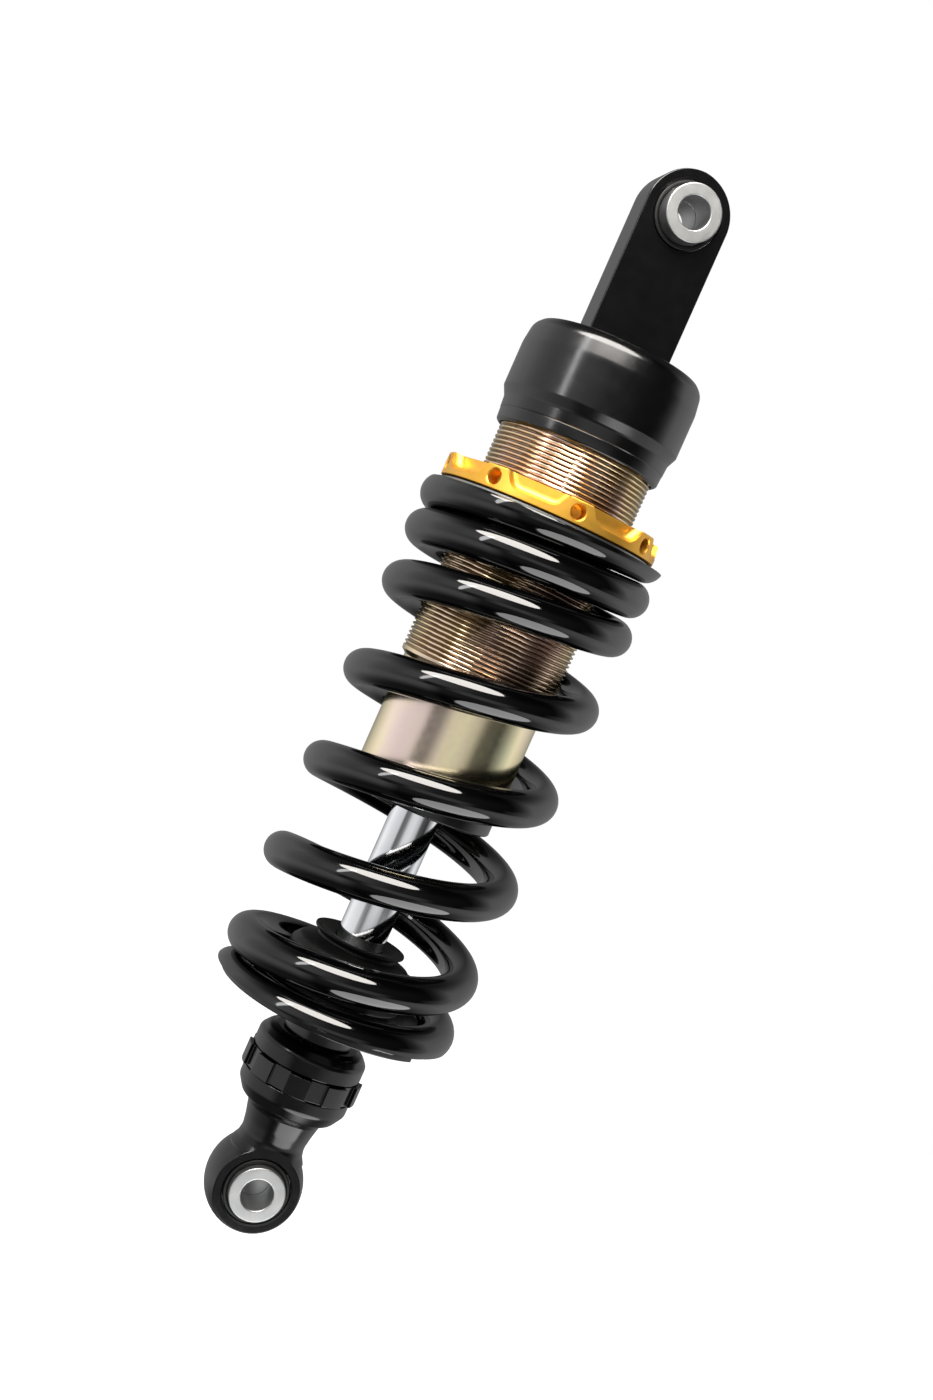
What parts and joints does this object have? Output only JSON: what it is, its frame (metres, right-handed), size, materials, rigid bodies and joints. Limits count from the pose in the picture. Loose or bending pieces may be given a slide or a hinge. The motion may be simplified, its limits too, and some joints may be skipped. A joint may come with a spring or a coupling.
{
  "type": "coilover shock absorber",
  "caption": "Motorcycle coilover: a coil spring round an oil damper with a threaded body, ring nut, bump stop, rebound knob and a bolted eye at each end.",
  "frame": {"origin": "centre of the upper eye, on its bolt axis", "axes": "+Z along the shock, from the lower eye to the upper one; +Y along both eye bolts; -Y is the front"},
  "size_m": [0.081, 0.081, 0.3662],
  "materials": {
    "forged_black": "satin black powder coat over forged alloy",
    "cap_black": "semi-gloss black anodising",
    "spring_gloss": "thick glossy black powder coat",
    "rubber": "matt black rubber",
    "gold_anodised": "gold anodised, satin",
    "yellow_zinc": "yellow-chromate zinc plating with faint pink and green",
    "hard_chrome": "ground and polished hard chrome",
    "spacer_steel": "fine turned, dull nickel plating",
    "bearing_steel": "ground steel",
    "alloy": "turned aluminium alloy",
    "bronze": "bronze-filled bearing material"
  },
  "bodies": {
    "damper": {"upper_mount": "forged_black", "upper_race": "bearing_steel", "upper_circlip_front": "bearing_steel", "upper_circlip_back": "bearing_steel", "upper_seal_front": "rubber", "upper_seal_back": "rubber", "damper_tube": "yellow_zinc", "tube_end_cap": "cap_black", "rod_wiper": "rubber", "seal_head": "alloy", "guide_bush": "bronze", "rod_seal": "rubber", "seal_head_oring": "rubber", "seal_head_circlip": "bearing_steel", "cap_oring": "rubber", "fill_screw": "bearing_steel", "spring": "spring_gloss"},
    "upper_bearing": {"upper_ball": "bearing_steel", "upper_spacer_front": "spacer_steel", "upper_spacer_back": "spacer_steel"},
    "spring_perch": {"slip_washer": "spacer_steel"},
    "ring_nut": {"preload_ring": "gold_anodised"},
    "gas_piston": {"floating_piston": "alloy", "floating_piston_band": "bronze", "floating_piston_oring": "rubber"},
    "rod": {"piston_rod": "hard_chrome", "piston": "alloy", "piston_band": "bronze", "compression_shims": "bearing_steel", "rebound_shims": "bearing_steel", "piston_nut": "bearing_steel", "top_out_washer": "bearing_steel", "top_out_bumper": "rubber", "bump_stop": "rubber", "spring_seat": "cap_black", "seat_collar": "cap_black", "adjuster_cup": "forged_black", "lower_mount": "forged_black", "lower_race": "bearing_steel", "lower_circlip_front": "bearing_steel", "lower_circlip_back": "bearing_steel", "lower_seal_front": "rubber", "lower_seal_back": "rubber", "detent_ball": "bearing_steel", "detent_spring": "bearing_steel"},
    "knob": {"rebound_knob": "cap_black"},
    "needle": {"metering_rod": "bearing_steel", "adjuster_pin": "bearing_steel"},
    "lower_bearing": {"lower_ball": "bearing_steel", "lower_spacer_front": "spacer_steel", "lower_spacer_back": "spacer_steel"}
  },
  "joints": [
    {"name": "upper_bearing_turn", "type": "hinge", "parent": "damper", "child": "upper_bearing", "pos_m": [0, 0, 0], "axis": [0, 1, 0], "continuous": true},
    {"name": "shock_travel", "type": "slide", "parent": "damper", "child": "rod", "axis": [0, 0, 1], "range_m": [0, 0.054], "stiffness_N_per_m": 85000, "deforming": ["spring", "bump_stop"]},
    {"name": "gas_piston_travel", "type": "slide", "parent": "damper", "child": "gas_piston", "axis": [0, 0, 1], "range_m": [0, 0.008]},
    {"name": "preload_travel", "type": "slide", "parent": "damper", "child": "spring_perch", "axis": [0, 0, -1], "range_m": [-0.012, 0.012], "deforming": ["spring"]},
    {"name": "preload_turn", "type": "hinge", "parent": "spring_perch", "child": "ring_nut", "pos_m": [0, 0, -0.0999], "axis": [0, 0, -1], "range_deg": [-2880, 2880]},
    {"name": "rebound_turn", "type": "hinge", "parent": "rod", "child": "knob", "pos_m": [0, 0, -0.2966], "axis": [0, 0, 1], "range_deg": [-160, 160]},
    {"name": "needle_travel", "type": "slide", "parent": "rod", "child": "needle", "axis": [0, 0, 1], "range_m": [-0.0014, 0.0014]},
    {"name": "lower_bearing_turn", "type": "hinge", "parent": "rod", "child": "lower_bearing", "pos_m": [0, 0, -0.336], "axis": [0, 1, 0], "continuous": true}
  ],
  "couplings": [
    {"joint": "gas_piston_travel", "follows": "shock_travel", "ratio": 0.145},
    {"joint": "preload_travel", "follows": "preload_turn", "m_per_rad": 0.00023873},
    {"joint": "needle_travel", "follows": "rebound_turn", "m_per_rad": 0.0005}
  ]
}
